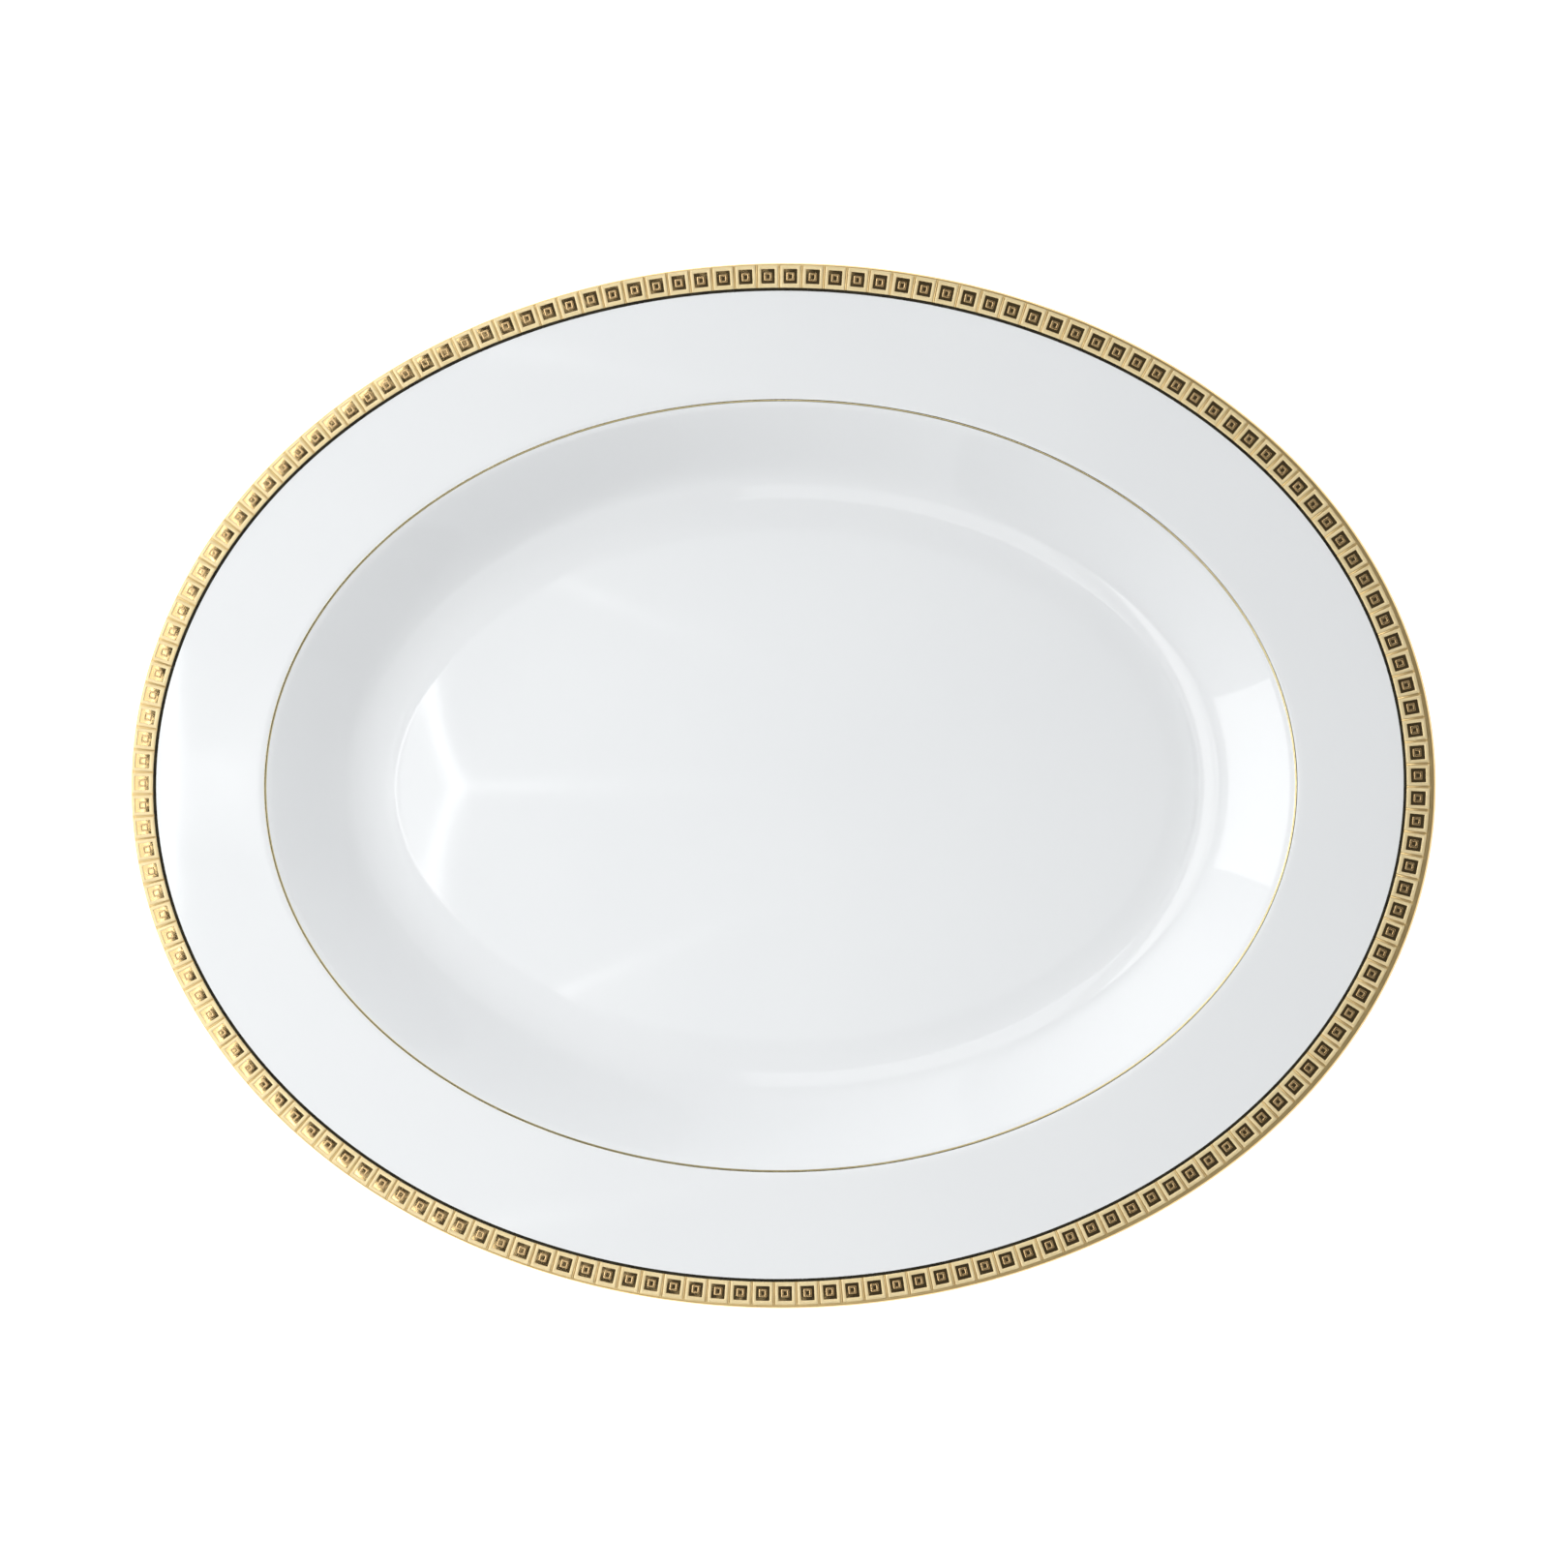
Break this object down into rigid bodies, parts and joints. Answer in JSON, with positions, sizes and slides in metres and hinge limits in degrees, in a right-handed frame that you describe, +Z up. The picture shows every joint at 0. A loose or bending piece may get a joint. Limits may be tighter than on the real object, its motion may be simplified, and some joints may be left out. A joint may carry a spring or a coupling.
{
  "type": "oval serving platter",
  "caption": "Oval glazed porcelain serving platter with a wide rim, a shallow well, a gilded frieze of small squares round the edge and a fine gold line round the well.",
  "frame": {"origin": "middle of the plane that the foot ring stands on, under the middle of the oval", "axes": "+X along the platter's length, +Y across its width, +Z up out of the well"},
  "size_m": [0.38, 0.303, 0.0327],
  "materials": {
    "biscuit_porcelain": "matte",
    "clear_glaze": "gloss",
    "polished_gold": "polished",
    "matte_gold": "satin",
    "dark_enamel": "gloss"
  },
  "bodies": {
    "root": {"porcelain_body": "biscuit_porcelain", "glaze_coat": "clear_glaze", "foot_recess_glaze": "clear_glaze", "rim_edge_gold": "polished_gold", "border_gold_ground": "polished_gold", "border_square_frames": "matte_gold", "border_square_rings": "matte_gold", "border_dividers": "matte_gold", "border_inner_line": "dark_enamel", "well_gold_line": "polished_gold"}
  },
  "joints": []
}
